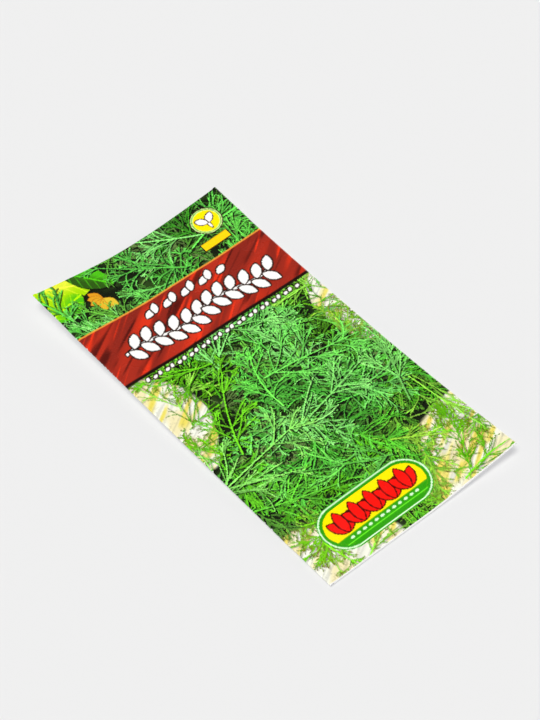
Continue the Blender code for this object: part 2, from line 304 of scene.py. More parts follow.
def paint_sprays(count, where, length, palette, thread):
    """Feathery sprays: stems with pairs of pinnae and of threads on each, over shade that sets them off."""
    even = (np.arange(count * SPARE_SPOTS)[:, None] * EVEN_STEPS + draw.random(2)) % 1
    spots = (2 * even - 1) * (CANVAS_X, CANVAS_Y)
    i, j = dots_at(spots)
    spots = spots[draw.random(len(spots)) < where[j, i]][:count]
    heading = np.arctan2(spots[:, 1] - ROOT_Y, spots[:, 0] - ROOT_X) + draw.normal(0, 1.2, len(spots))
    long = length * draw.uniform(0.7, 1.3, len(spots))
    starts = spots - np.stack([np.cos(heading), np.sin(heading)], -1) * long[:, None] / 2
    for some in np.array_split(np.arange(len(spots)), max(1, len(spots) // PAINTED_AT_ONCE)):
        i, j = dots_at(spots[some])
        tint = palette[draw.integers(0, len(palette), len(some))]
        tint = mix(tint, np.where(draw.random((len(some), 1)) < 0.6, young, straw_green), 0.8 * fringe[j, i])
        stems, turns = arcs(starts[some], heading[some], long[some], draw.normal(0, 0.45, len(some)), 7)
        shoots = side_shoots(stems, turns, long[some], PINNAE, 0.6, 0.55, 0.5)
        pinnae, turns = arcs(*shoots, draw.normal(0, 0.5, len(shoots[0])), 5)
        pinna_tint = np.tile(np.repeat(tint, PINNAE, 0), (2, 1))
        shoots = side_shoots(pinnae, turns, shoots[2], THREADS, 0.42, 0.8, 0.5)
        threads, turns = arcs(*shoots, draw.normal(0, 0.7, len(shoots[0])), 5)
        thread_tint = np.tile(np.repeat(pinna_tint, THREADS, 0), (2, 1))
        shoots = side_shoots(threads, turns, shoots[2], FORKS, 0.3, 0.7, 0.3)
        forks, turns = arcs(*shoots, draw.normal(0, 0.4, len(shoots[0])), 4)
        fork_tint = np.tile(np.repeat(thread_tint, FORKS, 0), (2, 1))
        # their shade, in widths of a thread, and then each kind of shoot, with its light from base to tip
        for paths, wide in ((threads, 1.4), (pinnae, 1.8), (stems, 2.0)):
            brush(paths + SHADE_SHIFT, np.full(paths.shape[:2], thread * wide))
        for paths, colour, wide, first, last in (
            (forks, fork_tint, 0.9, 0.8, 1.15),
            (threads, thread_tint, 1.0, 0.72, 1.12),
            (pinnae, pinna_tint, 1.15, 0.95, 1.1),
            (stems, tint, 1.5, 1.06, 1.0),
        ):
            light = np.linspace(first, last, paths.shape[1])[:, None]
            ink_colour = colour[:, None] * light * draw.uniform(0.78, 1.15, (len(paths), 1, 1))
            i, j = dots_at(paths[:, -1])  # the thinnest ends turn brown over the pale board
            tips = np.linspace(-1, 0.8, paths.shape[1]).clip(0) * (board[j, i] * (wide < 1.1))[:, None]
            ink_colour = mix(ink_colour, brown, tips)
            taper = np.linspace(1, 0.6, paths.shape[1]) * np.full((len(paths), 1), thread * wide)
            brush(paths, taper, np.clip(ink_colour, 0, 1))


def ink(distance, colour):
    """Covers the canvas where distance, in mm, is below nothing, with a soft edge of one dot."""
    art[:] = mix(art, colour, np.clip(0.5 - distance * DOTS, 0, 1))


def leaf(x, y, heading, long, half_wide, colour, rim=0.0, rim_colour=None, sharp=1.0):
    """A pointed leaf from its base at x, y, with an outline if rim is given."""
    u = (dot_x - x) * math.cos(heading) + (dot_y - y) * math.sin(heading) - long / 2
    v = (dot_y - y) * math.cos(heading) - (dot_x - x) * math.sin(heading)
    for grow, tint in ((rim, rim_colour), (0.0, colour)):
        if tint is not None:
            room = np.clip(1 - (2 * u / (long + 2 * grow)) ** 2, -1, 1)
            ink(np.abs(v) - (half_wide + grow) * np.sign(room) * np.abs(room) ** sharp, tint)


def broad_leaf(x, y, heading, long, half_wide, pale, deep):
    """A broad garden leaf, paler on one side of its midrib, with side veins."""
    u = (dot_x - x) * math.cos(heading) + (dot_y - y) * math.sin(heading)
    v = (dot_y - y) * math.cos(heading) - (dot_x - x) * math.sin(heading)
    blade = mix(np.ones_like(art) * deep, pale, ease(v / half_wide + 0.8 * (cloud(6) - 0.5), -0.5, 0.5))
    veins = np.abs((u - 0.9 * np.abs(v)) / 3.4 % 1 - 0.5) * 3.4
    blade = mix(blade, np.clip(pale * 1.12, 0, 1), 0.6 * ease(veins, 0.35, 0.1))
    blade = mix(blade, np.clip(pale * 1.15, 0, 1), ease(np.abs(v), 0.4, 0.2))
    leaf(x + 0.5, y - 0.8, heading, long, half_wide + 0.2, dark_edge, sharp=0.7)
    leaf(x, y, heading, long, half_wide, blade, sharp=0.7)


# the herbs, from the deepest to the nearest, with gaps left dark, and broad leaves and petals behind them
clumps = 0.6 + 0.4 * ease(cloud(13), 0.3, 0.55)
clumps *= 1 - 0.45 * ease(dot_y, 44, 54)  # fewer above the band
herbs = np.clip(1.1 - board, 0, 1)
herbs *= 1 - 0.9 * ease(np.hypot((dot_x + 34) / 22, (dot_y - 72) / 17), 1.0, 0.7)  # and few over the leaves
paint_sprays(74, herbs, 22, hexes(0x46802C, 0x528C36, 0x38661E, 0x608040), 0.36)
pale_lime, lime, leaf_green, deep_green = hexes(0xE6F03C, 0xA8DE00, 0x4DBE14, 0x2E5A12)
broad_leaf(-44, 77, -0.32, 26, 7.5, pale_lime, lime)
broad_leaf(-26, 79, -0.9, 19, 5.0, leaf_green, deep_green)
broad_leaf(-43, 62, 0.25, 17, 5.2, lime, leaf_green)
PETALS, FLOWER_X, FLOWER_Y = 7, -21.5, 60.5
petal_edge = hexes(0xA8500A)[0]
for k in range(PETALS):
    petal = mix(orange, straw, np.array(0.12 * k))
    leaf(FLOWER_X, FLOWER_Y, 2.2 + 0.5 * k, 5.6, 1.5, petal, 0.12, petal_edge)
paint_sprays(30, herbs * clumps, 28, hexes(0x48A430, 0x54B43C, 0x3E9424, 0x66B43C), 0.38)
paint_sprays(31, herbs * clumps, 31, hexes(0x66D450, 0x78E062, 0x88E672, 0x5ACA44), 0.4)
edges = ease(board, 0.02, 0.3) * ease(1 - board, 0.0, 0.25) + 0.25 * board
paint_sprays(24, edges, 22, hexes(0x98D030, 0xB0E048, 0x74BC24), 0.38)
paint_sprays(13, herbs**2 * clumps, 32, hexes(0x76E45A, 0x8CEC72, 0x6CDC4E), 0.38)

# the band: dark red satin in slanting folds, with an orange line above it and a dark one below
BAND_LOW, BAND_HIGH = 26.2, 50.6
BAND_SHADOW_TALL, BAND_LINE_TALL = 1.3, 0.64
SATIN_TURN = math.radians(34 - 90)  # the folds climb to the right at 34 degrees
dull_red, red, bright_red, deep_red = hexes(0x8A261A, 0xB22E1C, 0xEC3618, 0x420E0A)
band_line, band_shadow = hexes(0xF09A3A, 0x1E0E0A)
satin = mix(np.ones_like(art) * red, dull_red, ease(cloud(5, 24, SATIN_TURN), 0.4, 0.75))
satin = mix(satin, bright_red, 0.8 * ease(cloud(3.0, 22, SATIN_TURN), 0.6, 0.9))
satin = mix(satin, bright_red, 0.9 * ease(cloud(1.0, 17, SATIN_TURN + 0.06), 0.72, 0.92))
satin = mix(satin, deep_red, 0.75 * ease(cloud(1.3, 15, SATIN_TURN - 0.08), 0.72, 0.95))
ink(np.maximum(BAND_LOW - BAND_SHADOW_TALL - dot_y, dot_y - BAND_HIGH), band_shadow)
ink(np.maximum(BAND_LOW - dot_y, dot_y - BAND_HIGH), satin)
ink(np.abs(dot_y - BAND_HIGH) - BAND_LINE_TALL / 2, band_line)

# the garland on the band: white leaves in pairs on a waving stem, with a sprig of small ones over it
white, outline = hexes(0xF6F4F0, 0x2A1712)
GARLAND_Y, GARLAND_HALF, GARLAND_PITCH = 35.6, 31.0, 5.2
SMALL_LEAVES, SMALL_X, SMALL_Y, SMALL_PITCH = 9, -15.5, 44.6, 3.9


def garland_line(x):
    return GARLAND_Y + 1.2 * np.sin(x / 5.2)


for wide, tint in ((1.0, outline), (0.5, white)):
    ink(np.maximum(np.abs(dot_y - garland_line(dot_x)) - wide, np.abs(dot_x) - GARLAND_HALF - wide), tint)
garland_leaves = int(2 * GARLAND_HALF / GARLAND_PITCH) + 1
for k in range(garland_leaves):
    x = (k - (garland_leaves - 1) / 2) * GARLAND_PITCH
    for side in (1, -1):
        leaf(x + side * 1.2, garland_line(x), side * 0.95, 6.6, 1.75, white, 0.55, outline, sharp=0.8)
for k in range(SMALL_LEAVES):
    heading = 1.15 if k % 2 else 0.5
    leaf(SMALL_X + SMALL_PITCH * k, SMALL_Y, heading, 4.6, 1.25, white, 0.5, outline, sharp=0.7)

# the row of seeds under the band
PRINTED_SEEDS, ROW_X, ROW_Y, ROW_PITCH = 26, -33, 22.6, 2.6
for k in range(PRINTED_SEEDS):
    heading = 0.5 if k % 2 else 1.1
    leaf(ROW_X + ROW_PITCH * k, ROW_Y, heading, 1.9, 0.62, white, 0.4, outline, sharp=0.6)

# the roundel: a sprout on yellow in a green ring, with a plain plate below it
yellow, ring_green, pale_green, plate_yellow = hexes(0xFFE600, 0x4CA81C, 0xD8F2A0, 0xFFD20A)
ROUNDEL_X, ROUNDEL_Y, ROUNDEL_RADIUS = 28.0, 65.5, 5.6
off_roundel = np.hypot(dot_x - ROUNDEL_X, dot_y - ROUNDEL_Y)
rings = ((1.06, outline), (1.0, pale_green), (0.94, ring_green), (0.89, pale_green), (0.84, yellow))
for radius, tint in rings:
    ink(off_roundel - ROUNDEL_RADIUS * radius, tint)
leaf(ROUNDEL_X, ROUNDEL_Y - 3.6, math.pi / 2, 4.4, 0.4, white, 0.35, outline, sharp=0.4)
for heading in (0.75, math.pi - 0.75):
    leaf(ROUNDEL_X, ROUNDEL_Y - 0.9, heading, 4.6, 1.3, white, 0.35, outline, sharp=0.8)
PLATE_X, PLATE_Y, PLATE_HALF_WIDE, PLATE_HALF_TALL = 25.0, 56.6, 5.6, 1.5
off_plate = np.maximum(np.abs(dot_x - PLATE_X) - PLATE_HALF_WIDE, np.abs(dot_y - PLATE_Y) - PLATE_HALF_TALL)
for grow, tint in ((0.3, outline), (0.0, plate_yellow)):
    ink(off_plate - grow, tint)

# the label: a plaque with round ends, red buds on yellow over a green foot
LABEL_X, LABEL_Y, LABEL_HALF_WIDE, LABEL_HALF_TALL = -9.0, -61.5, 22.0, 9.0
FOOT_TOP, FOOT_LINE = -3.6, -6.2  # from the label's middle
BUDS, BUD_PITCH, BUD_LEAN, BUD_BASE = 5, 6.6, 0.62, -2.8
LABEL_DOTS, DOT_PITCH, DOTS_LEFT, DOTS_UP = 12, 2.5, -14.6, -4.9
label_red, label_green, foot_green, label_dark = hexes(0xF2140C, 0x2E9A0C, 0x2F9E08, 0x3A0A04)
label_line, foot_line = hexes(0xD9FBD0, 0x6CF028)


def off_plaque(shrink):
    """Distance from the plaque's outline, drawn in by shrink."""
    straight = LABEL_HALF_WIDE - LABEL_HALF_TALL
    away = np.maximum(np.abs(dot_x - LABEL_X) - straight, 0)
    return np.hypot(away, dot_y - LABEL_Y) - LABEL_HALF_TALL + shrink


for shrink, tint in ((0.0, label_green), (0.3, label_line), (0.85, label_green), (2.0, yellow)):
    ink(off_plaque(shrink), tint)
ink(np.maximum(off_plaque(2.0), dot_y - LABEL_Y - FOOT_TOP), foot_green)
ink(np.maximum(off_plaque(1.5), np.abs(dot_y - LABEL_Y - FOOT_LINE) - 0.22), foot_line)
for k in range(BUDS):
    x = LABEL_X + BUD_PITCH * (k - (BUDS - 1) / 2)
    for lean in (BUD_LEAN, -BUD_LEAN, 0.0):
        long = 8.6 - 1.6 * abs(lean)
        leaf(x, LABEL_Y + BUD_BASE, math.pi / 2 + lean, long, 1.7, label_red, 0.45, label_dark, sharp=0.8)
for k in range(LABEL_DOTS):
    leaf(LABEL_X + DOTS_LEFT + DOT_PITCH * k, LABEL_Y + DOTS_UP, 0.0, 1.5, 0.55, label_line, sharp=0.5)

# the sheet is left white past the bottom fold, past the right edge and on the turned end
PRINT_RIGHT, PRINT_BOTTOM, PRINT_TOP = 39.75, -FOLD_LINE - 0.25, FOLD_LINE + 1.4
paper_white = hexes(0xF4F3F1)[0]
ink(np.minimum(PRINT_RIGHT - dot_x, np.minimum(dot_y - PRINT_BOTTOM, PRINT_TOP - dot_y)), paper_white)


def gather(parts, name, width=3):
    """One array of this property of a mesh's parts, which has this many numbers for each."""
    values = np.zeros(len(parts) * width, int if width == 1 else float)
    parts.foreach_get(name, values)
    return values if width == 1 else values.reshape(-1, width)


# each face corner takes the canvas's colour half way to its face's middle, so that a cell holds four colours
flat = gather(blank.vertices, "co")
corners = flat[gather(blank.loops, "vertex_index", 1)]
face_sizes = gather(blank.polygons, "loop_total", 1)
middles = np.repeat(gather(blank.polygons, "center"), face_sizes, axis=0)
on_front = (middles[:, 0] > LEFT_FOLD) & (middles[:, 0] < TAB_FOLD) & (np.abs(middles[:, 1]) < FLAP_LINE)
spots = (corners[:, :2] + middles[:, :2]) / 2
in_canvas = (np.abs(spots[:, 0]) < CANVAS_X) & (np.abs(spots[:, 1]) < CANVAS_Y) & (middles[:, 2] > 0)
in_canvas &= on_front
colours = np.ones((len(spots), 4)) * (*paper_white, 1)
i, j = ((spots[in_canvas] + (CANVAS_X, CANVAS_Y)) * DOTS).astype(int).T
colours[in_canvas, :3] = art[j, i]
colours[:, :3] = linear(colours[:, :3])
ink_layer = blank.color_attributes.new(name="front_print", type="FLOAT_COLOR", domain="CORNER")
ink_layer.data.foreach_set("color", colours.ravel())
flat_map = blank.uv_layers.new(name="blank_mm")
flat_map.data.foreach_set("uv", corners[:, :2].ravel())

# The sheet's map for baking: the front and its folds take half of the square, the outside of the back and
# the tab stand beside it, the turned ends above those, and the bare inside fits in a corner.
SQUARE = 156.0  # mm of the front that fit the square's side
BACK_SCALE, INSIDE_SCALE = 0.78, 0.11  # of the front's scale
GUTTER = 1.2
face_up = np.repeat(gather(blank.polygons, "normal")[:, 2], face_sizes)
x, y, z = corners.T
on_back = middles[:, 0] < LEFT_FOLD
on_tab = middles[:, 0] > TAB_FOLD
beside = TAB_FOLD - LEFT_FOLD + 2 * GUTTER
back_wide = (LEFT_FOLD - FREE_EDGE) * BACK_SCALE
ends_up = GUTTER + 2 * FOLD_LINE * BACK_SCALE + GUTTER
end_wide = (FLAP_EDGE - FLAP_LINE) * BACK_SCALE + GUTTER
inside_up = ends_up + 2 * end_wide
tab_beside = beside + back_wide + GUTTER
inside_x, inside_y = (y + FLAP_EDGE) * INSIDE_SCALE + 2 * z, (x - FREE_EDGE) * INSIDE_SCALE + 2 * z
lays = [
    (face_up < 0.5, beside + inside_x, inside_up + inside_y),
    (on_front, GUTTER + x - LEFT_FOLD, GUTTER + y + FLAP_LINE),
    (on_back, beside + (x - FREE_EDGE) * BACK_SCALE, GUTTER + (y + FOLD_LINE) * BACK_SCALE),
    (on_tab, tab_beside + (x - TAB_FOLD) * BACK_SCALE, GUTTER + (y + FOLD_LINE) * BACK_SCALE),
    (y < 0, beside + (x - FRONT_LEFT) * BACK_SCALE, ends_up - (y + FLAP_LINE) * BACK_SCALE),
    (y > 0, beside + (x - FRONT_LEFT) * BACK_SCALE, ends_up + end_wide + (y - FLAP_LINE) * BACK_SCALE),
]
bake_map = blank.uv_layers.new(name="OFBake")
places = [np.select([lay[0] for lay in lays], [lay[axis] for lay in lays]) / SQUARE for axis in (1, 2)]
bake_map.data.foreach_set("uv", np.stack(places, -1).ravel())
blank.uv_layers["blank_mm"].active = True
blank.uv_layers["blank_mm"].active_render = True

# The folding
# The printed blank is folded and glued round the seeds: side folds first, then the end flaps over the back.
# It lies on its back, pressed flat in the middle, with its corners lifted and the seeds rounding the front.
LIFT = {
    "top_left": 6.4,
    "top_middle": 0.3,
    "top_right": 3.3,
    "middle_left": 2.4,
    "centre": -1.2,
    "middle_right": 1.75,
    "bottom_left": 0.0,
    "bottom_middle": 0.0,
    "bottom_right": 4.5,
}
LIFT_EASE = 0.6  # over about this height the sheet comes smoothly off the table
BEND_SOFTNESS = 0.4  # of the half width, over which it bends in the middle
FLAP_RAMP, FLAP_RAMP_GAP = 5.0, 1.0  # the back climbs onto the flaps over this length, this far before them
RAMP_FOOT = FOLD_LINE - END_FLAP - FLAP_RAMP_GAP - FLAP_RAMP
PILLOW, PILLOW_SIDE_POWER, PILLOW_END_POWER = 2.1, 2.4, 4  # how far the front swells, flatter in its middle
PILLOW_LEAN = 0.25  # more of it lies towards the bottom
WAVE = 0.09  # the front's slack rises and falls about this far
SEED_SHOW = 0.05  # and the seeds show through it as lumps this high
PILE_HALF_WIDE, PILE_HALF_LONG, PILE_Y = 25, 50, -8


def through_three(low, middle, high, place, curve):
    """A height between three of them, for a place from -1 to 1 and its bend from 0 to 1."""
    return middle + (high - low) / 2 * place + ((high + low) / 2 - middle) * curve


def lift(x, y):
    """How far the way the packet lies raises its back panel."""
    across, along = x / (WIDTH / 2), y / (LENGTH / 2)
    bend = (np.hypot(across, BEND_SOFTNESS) - BEND_SOFTNESS) / (math.hypot(1, BEND_SOFTNESS) - BEND_SOFTNESS)
    bottom = through_three(LIFT["bottom_left"], LIFT["bottom_middle"], LIFT["bottom_right"], across, bend)
    middle = through_three(LIFT["middle_left"], LIFT["centre"], LIFT["middle_right"], across, bend)
    top = through_three(LIFT["top_left"], LIFT["top_middle"], LIFT["top_right"], across, bend)
    free = through_three(bottom, middle, top, along, along * along)
    free = np.maximum(free, 0)
    return free * free / (free + LIFT_EASE)


def half_width(y):
    """Half the folded packet's width, to the middle of the paper."""
    return WIDTH / 2 - PAPER / 2 - DRAW_IN * (1 - (y / (LENGTH / 2)) ** 2)


def back_height(x, y):
    """The height of the back panel, to the middle of the paper, over the flaps at its ends."""
    return PAPER / 2 + lift(x, y) + LAYER_PITCH * ease(np.abs(y), RAMP_FOOT, RAMP_FOOT + FLAP_RAMP)


def front_height(x, y):
    """The height of the front panel, to the middle of the paper."""
    across = np.minimum(1, np.abs(x) / (half_width(y) - SIDE_RADIUS))
    along = np.clip(y / FOLD_LINE, -1, 1)
    fullness = (1 - across**PILLOW_SIDE_POWER) * (1 - np.abs(along) ** PILLOW_END_POWER)
    waves = np.sin(x / 5.3 + 1.3 * np.sin(y / 17)) * np.sin(y / 9.1 + 0.8 * np.sin(x / 13) + 0.6)
    lumps = np.sin(x * 1.31 + 2 * np.sin(y * 0.23)) * np.sin(y * 1.17 + 2 * np.sin(x * 0.29))
    pile = ease(np.hypot(x / PILE_HALF_WIDE, (y - PILE_Y) / PILE_HALF_LONG), 1.1, 0.7)
    slack = WAVE * waves + SEED_SHOW * lumps * pile
    return back_height(x, y) + FRONT_TO_BACK + fullness * (PILLOW * (1 - PILLOW_LEAN * along) + slack)


def share_of(value, start, stop):
    """How much of the way from start to stop the value has gone, from 0 to 1."""
    return np.clip((value - start) / (stop - start), 0, 1)


def fold(blank_x, blank_y):
    """Where a point of the flat blank lies, on the middle of the paper, once the packet is folded."""
    y = np.clip(blank_y, -FOLD_LINE, FOLD_LINE)
    half = half_width(y)
    left, right = SIDE_RADIUS - half, half - TAB_RADIUS
    free_x = half - BACK_EDGE_INSET
    back_x = free_x + (left - free_x) * share_of(blank_x, FREE_EDGE, LEFT_FOLD)
    left_turn = math.pi * (1.5 - share_of(blank_x, LEFT_FOLD, FRONT_LEFT))
    front_x = left + (right - left) * share_of(blank_x, FRONT_LEFT, FRONT_RIGHT)
    tab_turn = math.pi * (0.5 - share_of(blank_x, FRONT_RIGHT, TAB_FOLD))
    tab_x = right - TAB_WIDTH * share_of(blank_x, TAB_FOLD, TAB_EDGE)
    places = [
        (blank_x < LEFT_FOLD, back_x, back_height(back_x, y)),
        (
            blank_x < FRONT_LEFT,
            left + SIDE_RADIUS * np.cos(left_turn),
            front_height(left, y) - SIDE_RADIUS + SIDE_RADIUS * np.sin(left_turn),
        ),
        (blank_x <= FRONT_RIGHT, front_x, front_height(front_x, y)),
        (
            blank_x < TAB_FOLD,
            right + TAB_RADIUS * np.cos(tab_turn),
            front_height(right, y) - TAB_RADIUS + TAB_RADIUS * np.sin(tab_turn),
        ),
        (blank_x > -np.inf, tab_x, back_height(tab_x, y) + LAYER_PITCH),
    ]
    x = np.select([p[0] for p in places], [p[1] for p in places])
    z = np.select([p[0] for p in places], [p[2] for p in places])
    # the ends of the front, turned over onto the back between the flat shoulders
    end = np.sign(blank_y)
    flap_middle = (FRONT_LEFT + FRONT_RIGHT) / 2
    shoulder = np.abs(blank_x - flap_middle) > flap_middle - FRONT_LEFT - FLAP_INSET + 0.01
    y = np.where(shoulder, blank_y, y)
    past = np.where(shoulder, 0, np.abs(blank_y) - FOLD_LINE)
    turn = math.pi * (0.5 - np.clip(past / (FLAP_LINE - FOLD_LINE), 0, 1))
    flap = np.clip((past - (FLAP_LINE - FOLD_LINE)) / END_FLAP, 0, 1)
    fold_y = end * (FOLD_LINE + END_RADIUS * np.cos(turn))
    fold_z = front_height(x, end * FOLD_LINE) - END_RADIUS + END_RADIUS * np.sin(turn)
    flap_x = x * (1 - FLAP_TAPER * flap)
    flap_y = end * (FOLD_LINE - END_FLAP * flap)
    flap_z = back_height(flap_x, flap_y) - LAYER_PITCH
    on_fold, on_flap = (past > 0) & (flap == 0), flap > 0
    x = np.where(on_flap, flap_x, x)
    y = np.select([on_flap, on_fold], [flap_y, fold_y], y)
    z = np.select([on_flap, on_fold], [flap_z, fold_z], z)
    return np.stack([x, y, z], -1)


NUDGE = 0.004  # for the slope of the folded sheet at each point
middle = fold(flat[:, 0], flat[:, 1])
along_x = fold(flat[:, 0] + NUDGE, flat[:, 1]) - fold(flat[:, 0] - NUDGE, flat[:, 1])
along_y = fold(flat[:, 0], flat[:, 1] + NUDGE) - fold(flat[:, 0], flat[:, 1] - NUDGE)
outward = np.cross(along_x, along_y)
outward /= np.linalg.norm(outward, axis=1)[:, None]
blank.vertices.foreach_set("co", ((middle + outward * flat[:, 2:]) * MM).ravel())
blank.update()
blank.shade_smooth()


def node(tree, kind, inputs=(), **settings):
    """Adds a shader node with its settings. An input is a value, or a socket to link."""
    made = tree.nodes.new("ShaderNode" + kind)
    for name, value in settings.items():
        setattr(made, name, value)
    for name, value in dict(inputs).items():
        if isinstance(value, bpy.types.NodeSocket):
            tree.links.new(value, made.inputs[name])
        else:
            made.inputs[name].default_value = value
    return made


def new_material(name):
    """A material, its node tree and its shader."""
    material = bpy.data.materials.new(name)
    material.use_nodes = True
    tree = material.node_tree
    return material, tree, tree.nodes["Principled BSDF"]


# Offset-printed paper under a gloss varnish: saturated ink and a soft wide gloss, with fibres just felt
# through it. The back is white outside, with a green frame, a sowing calendar and plain panels, all blank.
material, tree, shader = new_material("offset_printed_varnished_paper")
sheet_mm = node(tree, "UVMap", uv_map="blank_mm").outputs["UV"]
BACK_MIDDLE = (FREE_EDGE + LEFT_FOLD) / 2
LINE_EDGE = 0.12  # mm over which a printed edge turns from one ink to the next


def past_sides(middle, half_size):
    """How far the sheet's points lie past the sides of an upright rectangle, in x and in y."""
    off = node(tree, "VectorMath", {0: sheet_mm, 1: middle}, operation="SUBTRACT").outputs["Vector"]
    off = node(tree, "VectorMath", {0: off}, operation="ABSOLUTE").outputs["Vector"]
    return node(tree, "VectorMath", {0: off, 1: half_size}, operation="SUBTRACT").outputs["Vector"]


def panel(x, y, half_wide, half_tall):
    """Masks an upright rectangle of the back panel, placed from the panel's middle."""
    past = past_sides((BACK_MIDDLE + x, y, 0), (half_wide, half_tall, 0))
    past = node(tree, "SeparateXYZ", {"Vector": past}).outputs
    past = node(tree, "Math", {0: past["X"], 1: past["Y"]}, operation="MAXIMUM").outputs[0]
    soft_edge = {"Value": past, "From Min": LINE_EDGE / 2, "From Max": -LINE_EDGE / 2}
    return node(tree, "MapRange", soft_edge).outputs["Result"]


def over_print(mask, under, colour):
    """Prints one colour over another. Each is an ink, or the socket of what is printed already."""
    under, colour = (c if isinstance(c, bpy.types.NodeSocket) else (*linear(c), 1) for c in (under, colour))
    return node(tree, "Mix", {0: mask, 6: under, 7: colour}, data_type="RGBA").outputs[2]


frame_green, tint_green, line_green, sow_green = hexes(0x2F8F2A, 0xE9F3DC, 0x7DB86A, 0x58AE3C)
FRAME_HALF_WIDE, FRAME_HALF_TALL, FRAME_LINE, PANEL_LINE = 36.2, 71.2, 0.8, 0.35
back = over_print(panel(0, 0, FRAME_HALF_WIDE, FRAME_HALF_TALL), paper_white, frame_green)
back = over_print(panel(0, 0, FRAME_HALF_WIDE - FRAME_LINE, FRAME_HALF_TALL - FRAME_LINE), back, paper_white)
blank_panels = [(0, 55, 32.5, 9.5), (0, 27, 32.5, 15), (-14, -9, 18.5, 17), (22, -9, 10.5, 17)]
for x, y, half_wide, half_tall in (*blank_panels, (0, -41, 32.5, 11)):
    back = over_print(panel(x, y, half_wide, half_tall), back, line_green)
    back = over_print(panel(x, y, half_wide - PANEL_LINE, half_tall - PANEL_LINE), back, tint_green)
MONTHS, SOWING = 12, range(3, 7)
MONTH_PITCH, MONTH_Y, MONTH_HALF, MONTH_LINE = 5.4, -60, 2.4, 0.3
for month in range(MONTHS):
    x = MONTH_PITCH * (month - (MONTHS - 1) / 2)
    inner = MONTH_HALF - MONTH_LINE
    back = over_print(panel(x, MONTH_Y, MONTH_HALF, MONTH_HALF), back, line_green)
    back = over_print(panel(x, MONTH_Y, inner, inner), back, sow_green if month in SOWING else paper_white)
picture = node(tree, "VertexColor", layer_name="front_print").outputs["Color"]
picture = over_print(panel(0, 0, (LEFT_FOLD - FREE_EDGE) / 2, FOLD_LINE), picture, back)

# where the paper is folded the ink has cracked, in broken lines along the folds
fold_middles = ((LEFT_FOLD + FRONT_LEFT) / 2, (FRONT_RIGHT + TAB_FOLD) / 2)
between = ((fold_middles[0] + fold_middles[1]) / 2, 0, 0)
reach = ((fold_middles[1] - fold_middles[0]) / 2, (FOLD_LINE + FLAP_LINE) / 2, 0)
off = node(tree, "VectorMath", {0: past_sides(between, reach)}, operation="ABSOLUTE").outputs["Vector"]
off = node(tree, "SeparateXYZ", {"Vector": off}).outputs
to_fold = node(tree, "Math", {0: off["X"], 1: off["Y"]}, operation="MINIMUM").outputs[0]
# flakes about 1 mm long, coarser than the real ones so that they show
flakes = node(tree, "TexNoise", {"Vector": sheet_mm, "Scale": 0.9, "Detail": 4.0}).outputs["Fac"]
cracks = node(tree, "Math", {0: to_fold, 1: -0.45, 2: flakes}, operation="MULTIPLY_ADD").outputs[0]
cracks = node(tree, "MapRange", {"Value": cracks, "From Min": 0.5, "From Max": 0.6}).outputs["Result"]
picture = over_print(cracks, picture, paper_white)
tree.links.new(picture, shader.inputs["Base Color"])

# the varnish: uneven over patches of 8 mm, on paper whose 0.4 mm fibres lift it by hundredths of a millimetre
shader.inputs["IOR"].default_value = 1.5
shader.inputs["Specular IOR Level"].default_value = 0.3
patches = node(tree, "TexNoise", {"Vector": sheet_mm, "Scale": 0.12, "Detail": 3.0}).outputs["Fac"]
spread = {"Value": patches, "From Min": 0.3, "From Max": 0.7, "To Min": 0.2, "To Max": 0.32}
gloss = node(tree, "MapRange", spread)
dulled = node(tree, "Math", {0: cracks, 1: 0.4, 2: gloss.outputs["Result"]}, operation="MULTIPLY_ADD")
tree.links.new(dulled.outputs[0], shader.inputs["Roughness"])
fibres = node(tree, "TexNoise", {"Vector": sheet_mm, "Scale": 2.5, "Detail": 3.0}).outputs["Fac"]
bump = node(tree, "Bump", {"Height": fibres, "Strength": 0.25, "Distance": 0.02 * MM})
tree.links.new(bump.outputs["Normal"], shader.inputs["Normal"])
blank.materials.append(material)

# Bare uncoated paper, on the inside of the sheet and its cut edges: white and matt, with fibres 0.8 mm long.
material, tree, shader = new_material("bare_uncoated_paper")
place = node(tree, "TexCoord").outputs["Object"]
fibres = node(tree, "TexNoise", {"Vector": place, "Scale": 1.2 / MM, "Detail": 5.0}).outputs["Fac"]
shades = node(tree, "ValToRGB", {"Fac": fibres})
shades.color_ramp.elements[0].color = (*linear(hexes(0xE6E4DD))[0], 1)
shades.color_ramp.elements[1].color = (*linear(hexes(0xF6F5F1))[0], 1)
tree.links.new(shades.outputs["Color"], shader.inputs["Base Color"])
shader.inputs["Roughness"].default_value = 0.85
bump = node(tree, "Bump", {"Height": fibres, "Strength": 0.4, "Distance": 0.02 * MM})
tree.links.new(bump.outputs["Normal"], shader.inputs["Normal"])
blank.materials.append(material)

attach(envelope, "root")
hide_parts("envelope")

# The seeds
# A pinch of dry split fruits of a feathery herb, loose in the packet's belly. Each is a thin oval, flat on
# one face and ribbed on the other, with a pale wing along its rim. They lie two deep where the paper allows.
SEED_LONG, SEED_WIDE, SEED_THICK = 4.2, 2.3, 0.9
SEED_SEGMENTS, SEED_RINGS = 16, 5
RIB_SPACING, RIB_HEIGHT = math.pi / 4, 0.07
FLAT_FACE = 0.35  # how far the flat face lies below the rim, as a share of the thickness
SEED_GAP = 0.12
SEED_PITCH, SEED_JITTER = 4.7, 0.2

